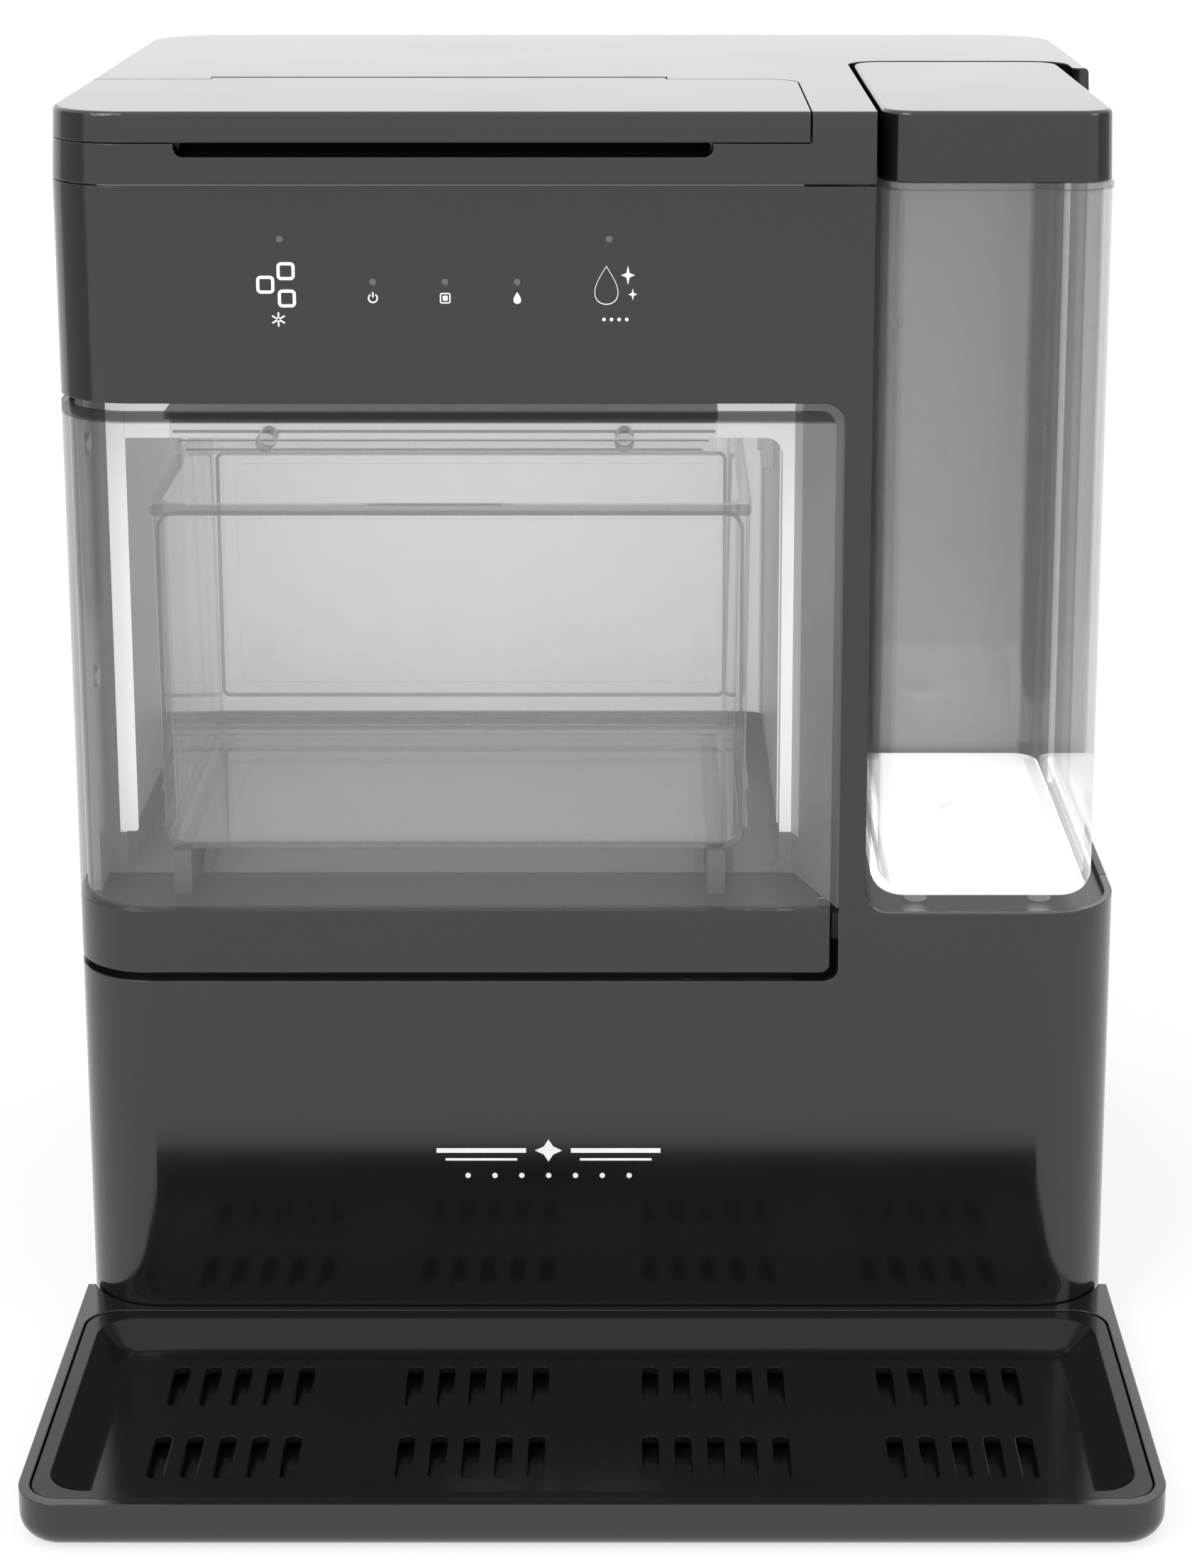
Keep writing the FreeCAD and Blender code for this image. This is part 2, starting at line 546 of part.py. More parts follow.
ice_bin = new_body("ice_bin")
pad(ice_bin, "XY", [rect("bin_left", "bin_front", "bin_right", "bin_back", "9")], "bin_low", "bin_top",
    "0.6")
soften(ice_bin, level_at("bin_low"), "5")
pocket(ice_bin, "XY", [rect("bin_left + bin_wall", "bin_front + bin_wall", "bin_right - bin_wall",
                            "bin_back - bin_wall", "7")], "bin_low + 2.4", "bin_top + 1", "-0.6")
pad(ice_bin, "XY", [rect("bin_left - 1.6", "bin_front - 1.6", "bin_right + 1.6", "bin_back + 1.6", "10.6"),
                    rect("bin_left + bin_wall - 0.6", "bin_front + bin_wall - 0.6",
                         "bin_right - bin_wall + 0.6", "bin_back - bin_wall + 0.6", "7.6")],
    "bin_top - 4.5", "bin_top")
for side, other in (("bin_left - 1.4", "bin_left + 1"), ("bin_right - 1", "bin_right + 1.4")):
    pad(ice_bin, "YZ", [rect("bin_front + 12", "177", "bin_back - 12", "179"),
                        rect("bin_front + 12", "190", "bin_back - 12", "192")], side, other)
pad(ice_bin, "XZ", [rect("-139", "184.5", "45.6", "278", "5")], "bin_back - 1", "bin_back + 1.2")
pocket(ice_bin, "XZ", [rect("-134", "189.5", "40.6", "273", "4")], "bin_back + 0.1", "bin_back + 2")

rail = new_body("pull_rail")
pad(rail, "YZ", [[("wall", "324.4"), ("16", "324.4"), ("16", "315"), ("14", "315"), ("14", "322"),
                  ("wall", "322")]], "-137", "39.4")
pad(rail, "XZ", [[("-137", "308", "3.5"), ("39.4", "308", "3.5"), ("39.4", "316"), ("-137", "316")]],
    "14", "16")
finish(group(*[rod(x, "wall", "314.2", "3.2", "14 - wall", "y") for x in ("-105", "9.6")]),
       "rail_bosses")

# ---- tank ----

TANK = rect("tank_left", "tank_front", "tank_right", "tank_back", "tank_round")
tank = new_body("tank_body")
pad(tank, "XY", [TANK], "tank_low", "tank_top")
soften(tank, level_at("tank_low"), "8")
pocket(tank, "XY", [rect("tank_left + tank_wall", "tank_front + tank_wall", "tank_right - tank_wall",
                         "tank_back - tank_wall", "tank_round - tank_wall")],
       "tank_low + 3", "tank_top + 1")
soften(tank, level_at("tank_low + 3"), "6")
pad(tank, "XY", [disc("valve_x", "valve_y", "neck_rad")], "145", "tank_low + 1")
pad(tank, "XY", [disc(x, y, "4") for x in ("tank_left + 16", "tank_right - 16")
                 for y in ("tank_front + 18", "tank_back - 18")], "bay_floor_z + 0.3", "tank_low + 1")
pocket(tank, "XY", [disc("valve_x", "valve_y", "neck_rad - 3")], "144", "tank_low")
pocket(tank, "XY", [disc("valve_x", "valve_y", "stem_rad + stem_gap")], "144", "tank_low + 5")

rim = new_body("tank_rim")
pad(rim, "XY", [rect("tank_left - 0.6", "tank_front - 0.6", "tank_right + 0.4", "tank_back + 0.6",
                     "tank_round"),
                rect("tank_left + tank_wall", "tank_front + tank_wall", "tank_right - tank_wall",
                     "tank_back - tank_wall", "tank_round - tank_wall")], "tank_top", "tank_top + 2.4")

cap = new_body("tank_lid")
pad(cap, "XY", [rect("cap_left", "cap_front", "cap_right", "cap_back", "tank_round")],
    "cap_low", "body_tall", "-1.5")
soften(cap, level_at("body_tall"), "top_round")
pocket(cap, "XY", [rect("cap_left + wall", "cap_front + wall", "cap_right - wall", "cap_back - wall",
                        "tank_round - wall")], "cap_low - 1", "body_tall - 3", "-1.5")

plunger = new_body("valve_plunger")
turn(plunger, [("0", "152.3"), ("stem_rad", "152.3"), ("stem_rad", "tank_low + 4"),
               ("7", "tank_low + 5"), ("7", "tank_low + 7"), ("stem_rad", "tank_low + 9"),
               ("stem_rad", "tank_low + 10"), ("0", "tank_low + 10")], "valve_x", "valve_y")
finish(cut(rod("valve_x", "valve_y", "150", "neck_rad + 0.5", "2.6"),
           rod("valve_x", "valve_y", "149", "neck_rad", "5")), "neck_seal")

# ---- drip tray ----

TRAY = "tray_wide / 2"
tray = new_body("drip_tray")
pad(tray, "XY", [[(f"-{TRAY}", "tray_front", "tray_round"), (TRAY, "tray_front", "tray_round"),
                  (TRAY, "tray_ear"), (f"-{TRAY}", "tray_ear")]], "0", "tray_tall")
soften(tray, lambda box, edge: level_at("0")(box, edge)
       and box.Center.y < value("tray_ear") - 1, "8")
pocket(tray, "XY", [rect(f"-{HALF} - foot_gap", "-foot_gap", f"{HALF} + foot_gap", "60",
                         "corner + foot_gap")], "-1", "tray_tall + 1")
INNER = f"({TRAY} - tray_wall)"
pocket(tray, "XY", [rect(f"-{INNER}", "tray_front + tray_wall", INNER, "-foot_gap - 2.6",
                         "tray_round - tray_wall")], "3", "tray_tall + 1")
pad(tray, "XY", [rect("-100", "-3", "100", "30", "2")], "1.5", "4.5")

grille = new_body("tray_grille")
EDGE = f"({INNER} - insert_gap)"
NEAR = "tray_front + tray_wall + insert_gap"
FAR = "-foot_gap - 2.6 - insert_gap"
pad(grille, "XY", [rect(f"-{EDGE}", NEAR, EDGE, FAR, "tray_round - tray_wall - insert_gap")],
    "5.5", "tray_tall - 0.3")
pocket(grille, "XY", [rect(f"-{EDGE} + insert_rim", f"{NEAR} + insert_rim", f"{EDGE} - insert_rim",
                           f"{FAR} - insert_rim", "12")], "8", "tray_tall - 0.3", "-dish_slope")
soften(grille, level_at("8"), "7")
slot = pocket(grille, "XY", [rect("-group_pitch * 1.5 - slot_pitch * 2 - slot_wide / 2",
                                  "-99.7", "-group_pitch * 1.5 - slot_pitch * 2 + slot_wide / 2",
                                  "-99.7 + slot_long", "slot_wide / 2 - 0.05")], "5", "9")
pattern(grille, slot, [("X", "slot_pitch", 5), ("X", "group_pitch", 4), ("Y", "row_pitch", 2)])
for x in ("-150", "150"):
    pad(grille, "XY", [disc(x, "-108", "4"), disc(x, "-24", "4")], "3.3", "6")

# ---- base and feet ----

pan = new_body("base_pan")
PAN = f"({HALF} - wall - 0.1)"
pad(pan, "XY", [rect(f"-{PAN}", "wall + 0.1", PAN, "body_deep - wall - 0.1", "corner - wall - 0.1")],
    "pan_low", "pan_low + 8")
pocket(pan, "XY", [rect(f"-{PAN} + 2", "wall + 2.1", f"{PAN} - 2", "body_deep - wall - 2.1",
                        "corner - wall - 2.1")], "pan_low + pan_thick", "pan_low + 9")
FEET = [(x, y) for x in ("-136", "136") for y in ("30", "237")]
pocket(pan, "XY", [disc(x, y, "3.05") for x, y in FEET], "pan_low - 1", "pan_low + 5")
finish(group(*[fuse(rod(x, y, "0", "12", "pan_low"), rod(x, y, "pan_low", "3", "5"))
               for x, y in FEET]), "rubber_feet")

# ---- refrigeration and water ----

compressor = new_body("compressor")
pad(compressor, "XY", [disc("comp_x", "comp_y", "comp_rad")], "comp_low", "comp_low + comp_tall")
soften(compressor, lambda box, edge: box.ZLength < 1e-3 and box.XLength > 50, "20")
pad(compressor, "XY", [disc("comp_x", "comp_y", "comp_rad + 3")], "64", "69")
pad(compressor, "XY", [rect("comp_x - 58", "comp_y - 40", "comp_x + 58", "comp_y + 40", "10")],
    "comp_low - 2.5", "comp_low + 1")
pad(compressor, "XZ", [rect("comp_x - 16", "60", "comp_x + 16", "92", "3")],
    "comp_y + comp_rad - 8", "comp_y + comp_rad + 12")
GROMMETS = [(f"comp_x + {dx}", f"comp_y + {dy}") for dx in (-49, 49) for dy in (-31, 31)]
pocket(compressor, "XY", [disc(x, y, "4.1") for x, y in GROMMETS], "comp_low - 4", "comp_low + 2")
finish(group(*[fuse(rod(x, y, "pan_low + pan_thick", "8", "comp_low - 2.5 - pan_low - pan_thick"),
                    rod(x, y, "comp_low - 2.5", "4", "3.5"), rod(x, y, "comp_low + 1", "7", "3"))
               for x, y in GROMMETS]), "compressor_mounts")

condenser = new_body("condenser")
pad(condenser, "YZ", [rect("200", "pan_low + pan_thick", "222", "144")], "-12", "-10.5")
fin = pad(condenser, "YZ", [rect("201", "24", "221", "143")], "-7", "-6.6")
pattern(condenser, fin, [("X", "3.8", 32)])
pad(condenser, "YZ", [rect("200", "pan_low + pan_thick", "222", "144")], "114", "115.5")
pad(condenser, "YZ", [disc(y, z, "3") for y in ("206", "216") for z in ("36", "60", "84", "108", "132")],
    "-16", "120")

shroud = new_body("fan_shroud")
LEFT = "fan_x - fan_half"
pad(shroud, "XZ", [rect(LEFT, "fan_z - fan_half", "fan_x + fan_half", "fan_z + fan_half", "5"),
                   disc("fan_x", "fan_z", "fan_rad")], "fan_front", "fan_front + fan_thick")
pad(shroud, "XZ", [rect("fan_x - fan_rad - 1", "fan_z - 2.5", "fan_x + fan_rad + 1", "fan_z + 2.5")],
    "fan_front + 20", "fan_front + fan_thick")
pad(shroud, "XZ", [rect("fan_x - 2.5", "fan_z - fan_rad - 1", "fan_x + 2.5", "fan_z + fan_rad + 1")],
    "fan_front + 20", "fan_front + fan_thick")
pad(shroud, "XZ", [disc("fan_x", "fan_z", "17")], "fan_front + 15", "fan_front + fan_thick")
pad(shroud, "XZ", [disc("fan_x", "fan_z", "spindle_rad")], "fan_front + 3", "fan_front + 16")
pad(shroud, "XY", [rect("fan_x - 50", "fan_front + 4", "fan_x - 30", "fan_front + 20"),
                   rect("fan_x + 30", "fan_front + 4", "fan_x + 50", "fan_front + 20")],
    "pan_low + pan_thick", "fan_z - fan_half + 1")

blades = []
for number in range(7):
    spin = FreeCAD.Rotation(FreeCAD.Vector(0, 1, 0), number * 360 / 7)
    lean = FreeCAD.Rotation(FreeCAD.Vector(0, 0, 1), 30)
    corner = spin.multVec(FreeCAD.Vector(-6.5, -3.7, 14))
    blades.append(simple("Box", {"Length": "15", "Width": "1.6", "Height": "blade_rad - 14"},
                         (f"fan_x + ({corner.x:.5f})", f"fan_front + 8 + ({corner.y:.5f})",
                          f"fan_z + ({corner.z:.5f})"), spin * lean))
rotor = cut(fuse(rod("fan_x", "fan_front + 2", "fan_z", "18", "12", "y"), *blades),
            rod("fan_x", "fan_front + 1", "fan_z", "spindle_rad + run_gap", "20", "y"))
finish(rotor, "fan_rotor")

barrel = new_body("freezing_barrel")
pad(barrel, "XY", [disc("barrel_x", "barrel_y", "barrel_rad")], "barrel_low", "barrel_top")
pad(barrel, "XY", [disc("barrel_x", "barrel_y", "barrel_rad + 9")], "barrel_low", "barrel_low + 5")
pocket(barrel, "XY", [disc("barrel_x", "barrel_y", "bore_rad")], "barrel_low + 3", "barrel_top + 1")
pocket(barrel, "XY", [disc("barrel_x", "barrel_y", "shaft_rad + run_gap")], "barrel_low - 1",
       "barrel_low + 4")

helix = doc.addObject("Part::Helix", "flight_path")
bind(helix, "Pitch", "22")
bind(helix, "Height", "barrel_top - barrel_low - 16")
bind(helix, "Radius", "12")
bind(helix, "Placement.Base.x", "barrel_x")
bind(helix, "Placement.Base.y", "barrel_y")
bind(helix, "Placement.Base.z", "barrel_low + 6")
section = doc.addObject("Sketcher::SketchObject", "flight_section")
section.Placement = FreeCAD.Placement(FreeCAD.Vector(), FreeCAD.Rotation(FreeCAD.Vector(1, 0, 0), 90))
outline(section, [("barrel_x + 6", "-1.3"), ("barrel_x + flight_rad", "-0.8"),
                  ("barrel_x + flight_rad", "0.8"), ("barrel_x + 6", "1.3")])
bind(section, "Placement.Base.y", "barrel_y")
bind(section, "Placement.Base.z", "barrel_low + 6")
flight = doc.addObject("Part::Sweep", "flight")
flight.Sections = [section]
flight.Spine = (helix, [])
flight.Solid = True
flight.Frenet = True
finish(fuse(rod("barrel_x", "barrel_y", "barrel_low + 3.5", "8", "barrel_top - barrel_low - 6"), flight,
            rod("barrel_x", "barrel_y", "barrel_low - 20", "shaft_rad", "30")), "auger")

coil_path = doc.addObject("Part::Helix", "coil_path")
bind(coil_path, "Pitch", "6")
bind(coil_path, "Height", "120")
bind(coil_path, "Radius", "barrel_rad + 2.1")
bind(coil_path, "Placement.Base.x", "barrel_x")
bind(coil_path, "Placement.Base.y", "barrel_y")
bind(coil_path, "Placement.Base.z", "barrel_low + 22")
coil_ring = doc.addObject("Sketcher::SketchObject", "coil_section")
coil_ring.Placement = section.Placement
circle(coil_ring, "barrel_x + barrel_rad + 2.1", "0", "2")
bind(coil_ring, "Placement.Base.y", "barrel_y")
bind(coil_ring, "Placement.Base.z", "barrel_low + 22")
coil = doc.addObject("Part::Sweep", "coil")
coil.Sections = [coil_ring]
coil.Spine = (coil_path, [])
coil.Solid = True
coil.Frenet = True
finish(coil, "evaporator_coil")
finish(cut(rod("barrel_x", "barrel_y", "barrel_low + 8", "34", "140"),
           rod("barrel_x", "barrel_y", "barrel_low + 6", "barrel_rad + 4.3", "150")), "barrel_jacket")

head = new_body("extruder_head")
pad(head, "XY", [disc("barrel_x", "barrel_y", "barrel_rad + 5")], "barrel_top", "barrel_top + 12")
pocket(head, "XY", [disc("barrel_x + 12", "barrel_y", "3.8"), disc("barrel_x - 12", "barrel_y", "3.8"),
                    disc("barrel_x", "barrel_y + 12", "3.8"), disc("barrel_x", "barrel_y - 12", "3.8")],
       "barrel_top - 1", "barrel_top + 13")

chute = new_body("ice_chute")
pad(chute, "YZ", [[("144", "303.7"), ("barrel_y - 26", "barrel_top + 12"),
                   ("barrel_y + 28", "barrel_top + 12"), ("barrel_y + 28", "354"), ("176", "354"), ("176", "346"), ("144", "338")]],
    "barrel_x - 26", "barrel_x + 26")
pocket(chute, "YZ", [[("143", "306.2"), ("barrel_y - 26", "barrel_top + 14.4"),
                      ("barrel_y + 25.5", "barrel_top + 14.4"), ("barrel_y + 25.5", "351.6"),
                      ("177", "351.6"), ("177", "343.6"), ("143", "335.2")]],
       "barrel_x - 23.8", "barrel_x + 23.8")
pocket(chute, "XY", [disc("barrel_x", "barrel_y", "18")], "barrel_top + 10", "barrel_top + 20")

motor = new_body("gear_motor")
pad(motor, "XY", [rect("barrel_x - 40", "196", "barrel_x + 40", "258", "6")], "100", "barrel_low")
pad(motor, "XY", [disc("barrel_x", "barrel_y", "28")], "pan_low + pan_thick", "101")
pocket(motor, "XY", [disc("barrel_x", "barrel_y", "shaft_rad + 0.4")], "barrel_low - 24", "barrel_low + 1")

vat = new_body("reservoir")
VAT = ("vat_left", "vat_front", "vat_right", "vat_back")
pad(vat, "XY", [rect(*VAT, "6")], "pan_low + pan_thick", "vat_top")
pocket(vat, "XY", [rect("vat_left + 2", "vat_front + 2", "vat_right - 2", "vat_back - 2", "4")],
       "pan_low + pan_thick + 2", "vat_top + 1")
pocket(vat, "YZ", [disc("pump_y", "24", "3")], "vat_left - 1", "vat_left + 3")
vat_lid = new_body("reservoir_lid")
pad(vat_lid, "XY", [rect("vat_left - 1", "vat_front - 1", "vat_right + 1", "vat_back + 1", "7")],
    "vat_top", "vat_top + 3")
pocket(vat_lid, "XY", [disc("valve_x + 7", "valve_y", "6")], "vat_top - 1", "vat_top + 4")
pad(vat_lid, "XY", [disc("130", "130", "2.4")], "vat_top - 60", "vat_top + 1")
pad(vat_lid, "XY", [disc("130", "130", "4")], "vat_top - 64", "vat_top - 60")
finish(cut(rod("130", "130", "vat_top - 59.7", "10", "15"), rod("130", "130", "vat_top - 62", "2.8", "20")),
       "level_float")

pump = new_body("pump_housing")
pad(pump, "XY", [disc("pump_x", "pump_y", "pump_rad")], "pan_low + pan_thick", "50")
pocket(pump, "XY", [disc("pump_x", "pump_y", "pump_rad - 4")], "14", "34")
pad(pump, "XY", [disc("pump_x", "pump_y", "2")], "13", "35")
pad(pump, "XZ", [disc("pump_x", "24", "4")], "pump_y + pump_rad - 2", "pump_y + pump_rad + 10")
impeller = cut(fuse(rod("pump_x", "pump_y", "19", "5", "10"),
                    block("pump_x - 15", "pump_y - 1", "20", "pump_x + 15", "pump_y + 1", "28"),
                    block("pump_x - 1", "pump_y - 15", "20", "pump_x + 1", "pump_y + 15", "28")),
               rod("pump_x", "pump_y", "18", "2 + run_gap", "12"))
finish(impeller, "pump_impeller")
finish(group(tube_run([("vat_left", "pump_y", "24"), ("pump_x + pump_rad", "pump_y", "24")], "3", "8"),
             tube_run([("pump_x", "pump_y + pump_rad + 10", "24"), ("pump_x", "192", "24"),
                       ("pump_x", "192", "160"), ("-14", "192", "160"), ("-14", "barrel_y", "160"),
                       ("barrel_x + 34.3", "barrel_y", "160")], "3", "5")), "water_hoses")
finish(group(tube_run([("comp_x + 20", "comp_y + 41", "50"), ("comp_x + 20", "150", "50"),
                       ("-20", "170", "60"), ("-20", "216", "60"), ("-17", "216", "60")], "2.5", "1.4"),
             tube_run([("comp_x - 20", "comp_y + 41", "50"), ("comp_x - 20", "160", "50"),
                       ("-112", "180", "60"), ("-112", "226", "80"), ("-112", "226", "180"),
                       ("-95", "226", "180")], "2.5", "4")), "refrigerant_tubes")
finish(fuse(rod("-132", "198", "90", "8", "60"), rod("-132", "198", "82", "3", "76")), "filter_drier")
finish(fuse(block("100", "170", "220", "160", "171.6", "330"),
            block("106", "171.6", "232", "130", "190", "256"),
            block("134", "171.6", "270", "154", "184", "300"), rod("116", "171.6", "300", "8", "24", "y"),
            *[rod(x, "bay_deep + 2", z, "2", "6", "y") for x in ("104", "156") for z in ("224", "326")]),
       "power_board")

# ---- fittings ----

finish(fuse(cut(block("-146", "240", "34", "-114", "body_deep - 0.5", "58"),
                block("-142", "246", "38", "-118", "body_deep + 1", "54")),
            block("-131", "244", "48", "-129", "258", "52"), block("-138", "244", "42", "-136", "258", "46"),
            block("-124", "244", "42", "-122", "258", "46")), "power_inlet")
finish(cut(rod(f"-{HALF} + wall + 0.1", "drain_y", "drain_z", "drain_rad + 2", "22", "x"),
           rod(f"-{HALF} + wall - 1", "drain_y", "drain_z", "7", "40", "x")), "drain_spout")
finish(fuse(rod(f"-{HALF} + 0.8", "drain_y", "drain_z", "drain_rad - 0.6", "1.2", "x"),
            rod(f"-{HALF} + 1.5", "drain_y", "drain_z", "6.4", "14", "x")), "drain_cap")
finish(group(*[fuse(rod(x, "body_deep - 1.5", z, "3.5", "1.2", "y"),
                    rod(x, "body_deep - 16", z, "1.5", "15", "y"))
               for x, z in SCREWS]), "case_screws")

# ---- checks and files ----

doc.recompute()
for item in doc.Objects:
    if "Invalid" in item.State or "Error" in item.State:
        raise ValueError(f"{item.Label} is not sound: {item.State}")
for item in parts:
    if item.Shape.isNull() or not item.Shape.isValid():
        raise ValueError(f"{item.Label} has no sound shape")
    item.Shape.exportStep(f"parts/{item.Label}.step")
    box = item.Shape.BoundBox
    print(f"{item.Label:20s} solids {len(item.Shape.Solids)} X {box.XMin:.1f} {box.XMax:.1f} "
          f"Y {box.YMin:.1f} {box.YMax:.1f} Z {box.ZMin:.1f} {box.ZMax:.1f}")
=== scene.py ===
import bmesh
import bpy
import json
import math
from mathutils import Euler, Matrix, Vector


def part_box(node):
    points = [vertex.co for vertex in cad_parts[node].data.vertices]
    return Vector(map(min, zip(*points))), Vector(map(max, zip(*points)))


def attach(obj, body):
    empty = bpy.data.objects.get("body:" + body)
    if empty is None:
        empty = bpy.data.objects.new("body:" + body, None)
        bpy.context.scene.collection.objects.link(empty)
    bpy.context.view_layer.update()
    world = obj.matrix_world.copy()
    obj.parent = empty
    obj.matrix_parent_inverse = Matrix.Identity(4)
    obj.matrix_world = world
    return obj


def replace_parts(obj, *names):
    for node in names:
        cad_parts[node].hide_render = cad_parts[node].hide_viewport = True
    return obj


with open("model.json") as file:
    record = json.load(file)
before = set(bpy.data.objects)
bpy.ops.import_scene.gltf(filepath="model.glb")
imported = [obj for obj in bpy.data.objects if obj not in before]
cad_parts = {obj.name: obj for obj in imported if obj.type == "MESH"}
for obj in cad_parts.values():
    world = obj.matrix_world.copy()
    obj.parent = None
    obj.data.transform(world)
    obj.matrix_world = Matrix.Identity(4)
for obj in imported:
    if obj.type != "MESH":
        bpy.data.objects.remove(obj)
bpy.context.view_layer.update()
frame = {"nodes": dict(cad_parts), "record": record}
nodes = frame["nodes"]

# Places are in millimetres, with y from the cabinet's front face. Materials and the stage are in metres.
MM = 0.001
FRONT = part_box("front_panel")[0][1]


def at(x, y, z):
    """The frame's own point, in metres, for a place in millimetres."""
    return Vector((x * MM, FRONT + y * MM, z * MM))


def box_mm(node):
    """Low and high corner of a CAD node, in the terms of at()."""
    return [(corner.x / MM, (corner.y - FRONT) / MM, corner.z / MM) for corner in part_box(node)]


# ---- materials ----

class Graph:
    """Adds and links the shader nodes of one material."""

    def __init__(self, tree):
        self.tree = tree

    def add(self, kind, settings=None, inputs=None):
        node = self.tree.nodes.new("ShaderNode" + kind)
        for key, value in (settings or {}).items():
            setattr(node, key, value)
        for key, value in (inputs or {}).items():
            if isinstance(value, bpy.types.NodeSocket):
                self.tree.links.new(value, node.inputs[key])
            else:
                node.inputs[key].default_value = value
        return node

    def place(self):
        return self.add("TexCoord").outputs["Object"]

    def parts(self, vector):
        """The x, y and z of a vector."""
        return self.add("SeparateXYZ", inputs={0: vector}).outputs

    def noise(self, scale, detail=3.0, rough=0.5, stretch=None):
        place = self.place()
        if stretch:
            place = self.add("Mapping", inputs={"Vector": place, "Scale": stretch}).outputs[0]
        return self.add("TexNoise", inputs={"Vector": place, "Scale": scale, "Detail": detail,
                                            "Roughness": rough}).outputs["Fac"]

    def spread(self, value, low, high, start=0.0, end=1.0):
        """Goes from low to high while the value goes from start to end."""
        return self.add("MapRange", inputs={"Value": value, "From Min": start, "From Max": end,
                                            "To Min": low, "To Max": high}).outputs[0]

    def math(self, operation, *values):
        return self.add("Math", {"operation": operation}, dict(enumerate(values))).outputs[0]

    def mix(self, amount, *colours):
        """Mix of two colours, each a socket or (r, g, b)."""
        first, second = ((*colour, 1) if isinstance(colour, tuple) else colour for colour in colours)
        return self.add("Mix", {"data_type": "RGBA"}, {0: amount, 6: first, 7: second}).outputs[2]

    def mottle(self, amount, colour, dark, light):
        """A colour that varies between two shares of itself."""
        return self.mix(amount, *(tuple(min(1, c * share) for c in colour) for share in (dark, light)))

    def join(self, amount, first, second):
        return self.add("MixShader", inputs={0: amount, 1: first, 2: second}).outputs[0]

    def bump(self, height, strength, distance, normal=None):
        inputs = {"Height": height, "Strength": strength, "Distance": distance}
        if normal:
            inputs["Normal"] = normal
        return self.add("Bump", inputs=inputs).outputs[0]

    def output(self, shader):
        self.add("OutputMaterial", inputs={"Surface": shader})


def new_material(name):
    material = bpy.data.materials.new(name)
    material.use_nodes = True
    material.node_tree.nodes.clear()
    return material, Graph(material.node_tree)


def shader_of(material):
    return next(node for node in material.node_tree.nodes if node.type == "BSDF_PRINCIPLED")


def paint_glow(shader, strength):
    """Painted glow: white emission that stands in for light a translucent plastic would pass on from its
    surroundings.
    """
    shader.inputs["Emission Color"].default_value = (1, 1, 1, 1)
    shader.inputs["Emission Strength"].default_value = strength


def plastic(name, colour, rough, uneven=0.03, grain=0.0, grain_scale=2600, wave=0.0, edge=0.0, ior=1.5):
    """Moulded plastic: slight mottling, uneven gloss, fine texture and faint mould waves."""
    material, g = new_material(name)
    shade = g.mottle(g.noise(38, 4), colour, 0.92, 1.08)
    gloss = g.spread(g.noise(16, 5, 0.6), max(0.02, rough - uneven), rough + uneven, 0.3, 0.7)
    inputs = {"Base Color": shade, "Roughness": gloss, "IOR": ior}
    normal = None
    if edge:
        normal = g.add("Bevel", {"samples": 4}, {"Radius": edge}).outputs[0]
    if wave:
        normal = g.bump(g.noise(9, 1, 0.4), wave, 0.002, normal)
    if grain:
        normal = g.bump(g.noise(grain_scale, 2, 0.6), grain, 0.0002, normal)
    if normal:
        inputs["Normal"] = normal
    g.output(g.add("BsdfPrincipled", inputs=inputs).outputs[0])
    return material


def metal(name, colour, rough, streak=(1, 1, 60), strength=0.08):
    """Drawn or brushed metal with fine streaks."""
    material, g = new_material(name)
    lines = g.noise(120, 3, 0.6, streak)
    shader = g.add("BsdfPrincipled", inputs={
        "Base Color": g.mottle(lines, colour, 0.85, 1.0),
        "Roughness": g.spread(lines, rough * 0.8, rough * 1.25, 0.3, 0.7),
        "Metallic": 1.0,
        "Normal": g.bump(lines, strength, 0.0002)})
    g.output(shader.outputs[0])
    return material


FACE_SHINE, CLEAR_ROUGH = 0.035, 0.03
MILK = (0.8, 0.82, 0.83, 1)
# Painted shade for the top band of clear parts: its dark tint, its share of gloss and its fade.
TOP_SHADE_TINT, TOP_SHADE_SHINE = (0.4, 0.4, 0.4), 0.35
TOP_SHADE_FADE, BASE_FADE, BAND_FADE = 0.0006, 0.0002, 0.0004


